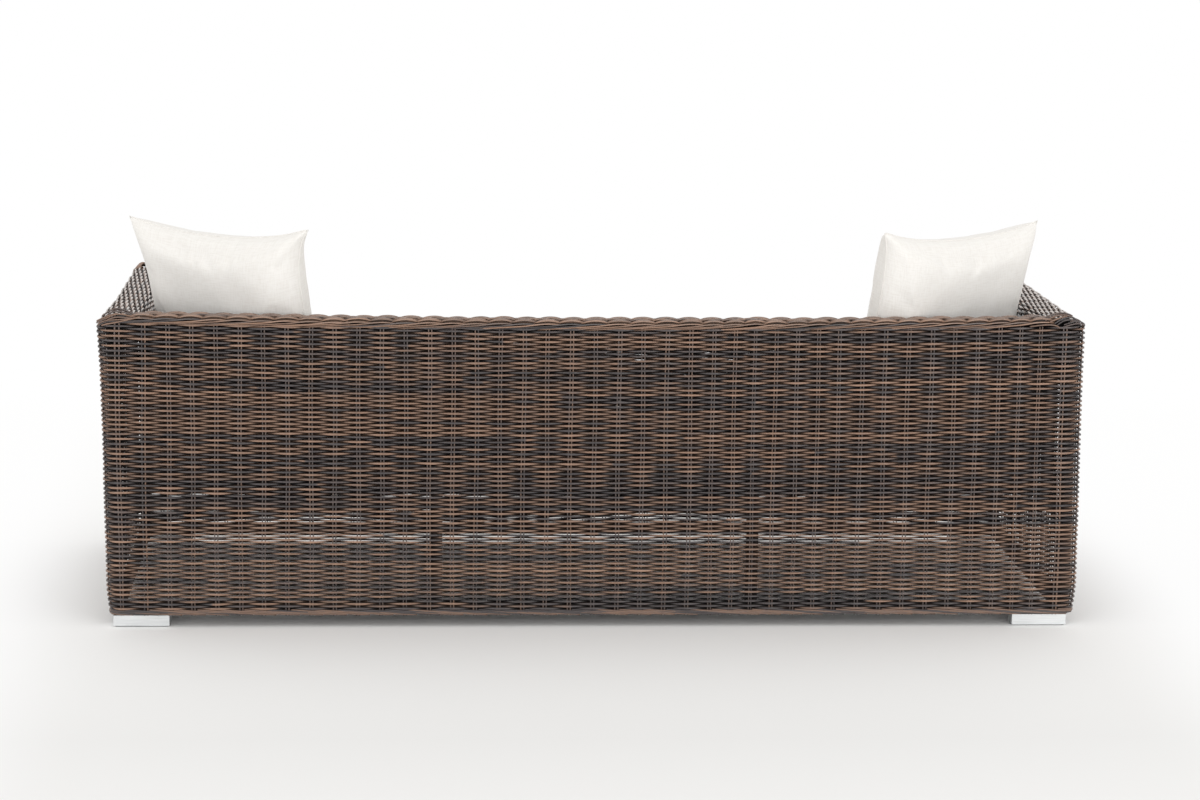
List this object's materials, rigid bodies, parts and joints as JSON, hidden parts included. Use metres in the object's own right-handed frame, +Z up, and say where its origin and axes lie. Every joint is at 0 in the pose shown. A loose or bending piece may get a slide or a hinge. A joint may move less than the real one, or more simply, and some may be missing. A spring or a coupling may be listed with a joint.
{
  "type": "rattan garden sofa",
  "caption": "Low box-shaped garden sofa woven in brown round rattan over a tube frame, with loose seat cushions, end pillows and flat metal feet.",
  "frame": {"origin": "on the floor, at the bottom centre of the sofa's box", "axes": "+Z up, +X along the sofa's length, the seat opens towards -Y and the back stands on the +Y side"},
  "size_m": [2.1, 0.86, 0.8471],
  "materials": {
    "woven_rattan": "round polyethylene strands, mixed mid brown and grey brown, satin, plain woven",
    "coated_tube": "powder-coated aluminium tube, matt dark brown",
    "brushed_aluminium": "brushed lengthwise, clear anodised",
    "moulded_glide": "moulded black nylon",
    "steel_screw": "stainless, plain",
    "seat_cover": "cream woven polyester cover with piped seams",
    "pillow_cover": "cream woven polyester cover, knife edged, with soft folds at the corners"
  },
  "bodies": {
    "root": {"arm_border_left": "woven_rattan", "arm_border_right": "woven_rattan", "arm_end_skin_left": "woven_rattan", "arm_end_skin_right": "woven_rattan", "arm_post_front_left": "coated_tube", "arm_post_front_right": "coated_tube", "arm_post_rear_left": "coated_tube", "arm_post_rear_right": "coated_tube", "arm_rail_inner_left": "coated_tube", "arm_rail_inner_right": "coated_tube", "arm_rail_outer_left": "coated_tube", "arm_rail_outer_right": "coated_tube", "arm_skin_left": "woven_rattan", "arm_skin_right": "woven_rattan", "back_inner_skin": "woven_rattan", "back_outer_skin": "woven_rattan", "back_post_lower_1": "coated_tube", "back_post_lower_2": "coated_tube", "back_post_upper_1": "coated_tube", "back_post_upper_2": "coated_tube", "back_top_rail": "coated_tube", "bottom_rail_front": "coated_tube", "bottom_rail_left": "coated_tube", "bottom_rail_rear": "coated_tube", "bottom_rail_right": "coated_tube", "corner_post_front_left": "coated_tube", "corner_post_front_right": "coated_tube", "corner_post_rear_left": "coated_tube", "corner_post_rear_right": "coated_tube", "foot_front_left": "brushed_aluminium", "foot_front_right": "brushed_aluminium", "foot_rear_left": "brushed_aluminium", "foot_rear_right": "brushed_aluminium", "foot_screw_front_left_a": "steel_screw", "foot_screw_front_left_b": "steel_screw", "foot_screw_front_right_a": "steel_screw", "foot_screw_front_right_b": "steel_screw", "foot_screw_rear_left_a": "steel_screw", "foot_screw_rear_left_b": "steel_screw", "foot_screw_rear_right_a": "steel_screw", "foot_screw_rear_right_b": "steel_screw", "front_lower_skin": "woven_rattan", "glide_front_left": "moulded_glide", "glide_front_right": "moulded_glide", "glide_rear_left": "moulded_glide", "glide_rear_right": "moulded_glide", "seat_bearer_1": "coated_tube", "seat_bearer_2": "coated_tube", "seat_bearer_3": "coated_tube", "seat_deck": "woven_rattan", "seat_rail_front": "coated_tube", "seat_rail_left": "coated_tube", "seat_rail_rear": "coated_tube", "seat_rail_right": "coated_tube", "top_border": "woven_rattan"},
    "seat_cushion_left": {"seat_cushion_left": "seat_cover"},
    "seat_cushion_middle": {"seat_cushion_middle": "seat_cover"},
    "seat_cushion_right": {"seat_cushion_right": "seat_cover"},
    "throw_pillow_left": {"throw_pillow_left": "pillow_cover"},
    "throw_pillow_right": {"throw_pillow_right": "pillow_cover"}
  },
  "joints": [
    {"name": "lift_seat_cushion_left", "type": "slide", "parent": "root", "child": "seat_cushion_left", "axis": [0, 0, 1], "range_m": [0, 0.42]},
    {"name": "lift_seat_cushion_middle", "type": "slide", "parent": "root", "child": "seat_cushion_middle", "axis": [0, 0, 1], "range_m": [0, 0.42]},
    {"name": "lift_seat_cushion_right", "type": "slide", "parent": "root", "child": "seat_cushion_right", "axis": [0, 0, 1], "range_m": [0, 0.42]},
    {"name": "lift_pillow_left", "type": "slide", "parent": "seat_cushion_left", "child": "throw_pillow_left", "axis": [0, 0, 1], "range_m": [0, 0.32]},
    {"name": "lift_pillow_right", "type": "slide", "parent": "seat_cushion_right", "child": "throw_pillow_right", "axis": [0, 0, 1], "range_m": [0, 0.32]}
  ]
}
